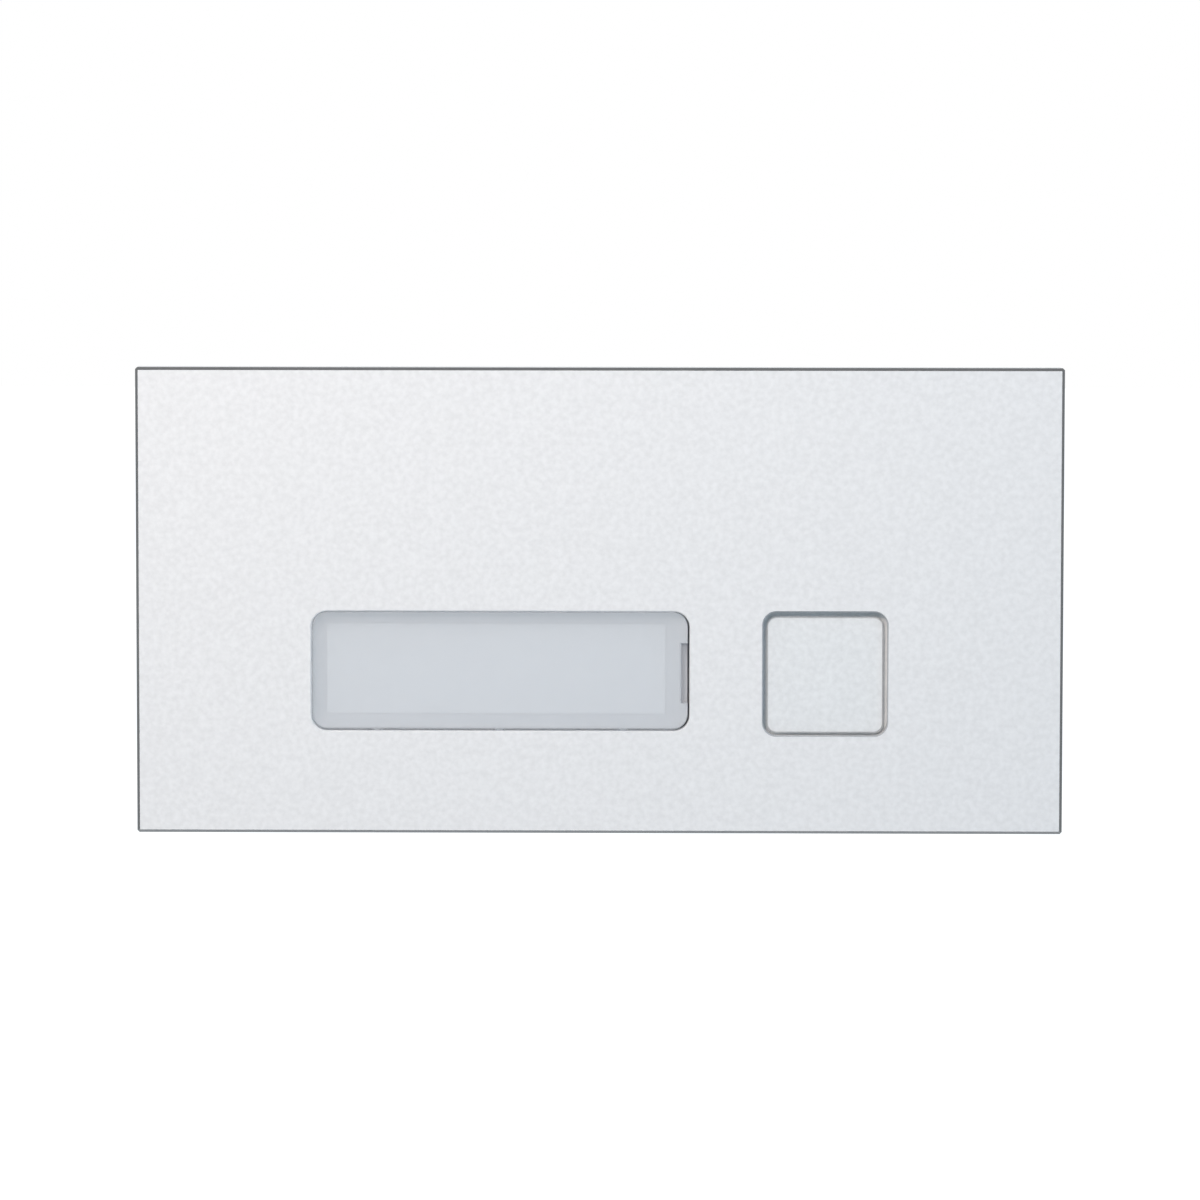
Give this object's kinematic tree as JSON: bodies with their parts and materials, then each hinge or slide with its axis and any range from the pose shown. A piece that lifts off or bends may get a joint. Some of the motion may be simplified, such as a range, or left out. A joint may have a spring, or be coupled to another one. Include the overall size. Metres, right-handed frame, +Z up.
{
  "type": "intercom button module",
  "caption": "Flush rectangular intercom module: pale silver metal front panel with a back-lit name window and a square call button, moulded housing with line sockets behind.",
  "frame": {"origin": "centre of the four mounting holes, on the plane where the panel's seat pads meet the mounting frame", "axes": "the front faces -Y, +X points right along the panel's long side as seen from the front, +Z points up"},
  "size_m": [0.113, 0.0232, 0.0568],
  "materials": {
    "panel_metal": "satin",
    "foam": "matte",
    "lens_clear": "gloss",
    "card_paper": "matte",
    "diffuser_milky": "satin",
    "housing_plastic": "matte",
    "silicone": "matte",
    "black_plastic": "satin",
    "steel": "satin",
    "board_laminate": "satin",
    "led_white": "satin",
    "ferrite": "matte",
    "can_metal": "satin",
    "passive_ceramic": "satin",
    "pin_metal": "polished"
  },
  "bodies": {
    "module": {"front_panel": "panel_metal", "panel_gasket": "foam", "window_seal": "foam", "name_card": "card_paper", "light_diffuser": "diffuser_milky", "front_housing": "housing_plastic", "rear_cover": "housing_plastic", "cover_seal": "silicone", "button_membrane": "silicone", "switch_body": "black_plastic", "switch_cover": "steel", "circuit_board": "board_laminate", "backlight_leds": "led_white", "controller_chip": "black_plastic", "bus_transceiver": "black_plastic", "crystal_can": "steel", "power_inductor": "ferrite", "capacitor_base": "black_plastic", "capacitor_can": "can_metal", "small_passives": "passive_ceramic", "input_header_shell": "black_plastic", "output_header_shell": "black_plastic", "input_header_pins": "pin_metal", "output_header_pins": "pin_metal", "cover_screws": "steel"},
    "button": {"button_cap": "panel_metal", "button_plunger": "black_plastic"},
    "switch_key": {"switch_actuator": "black_plastic"},
    "lens": {"window_lens": "lens_clear"}
  },
  "joints": [
    {"name": "button_press", "type": "slide", "parent": "module", "child": "button", "axis": [0, 1, 0], "range_m": [0, 0.0006], "stiffness_N_per_m": 2500, "springref_m": -0.0004, "deforming": ["button_membrane"]},
    {"name": "switch_press", "type": "slide", "parent": "module", "child": "switch_key", "axis": [0, 1, 0], "range_m": [0, 0.0004]},
    {"name": "window_pull", "type": "slide", "parent": "module", "child": "lens", "axis": [0, -1, 0], "range_m": [0, 0.01]}
  ],
  "couplings": [
    {"joint": "switch_press", "follows": "button_press", "ratio": 0.5}
  ]
}
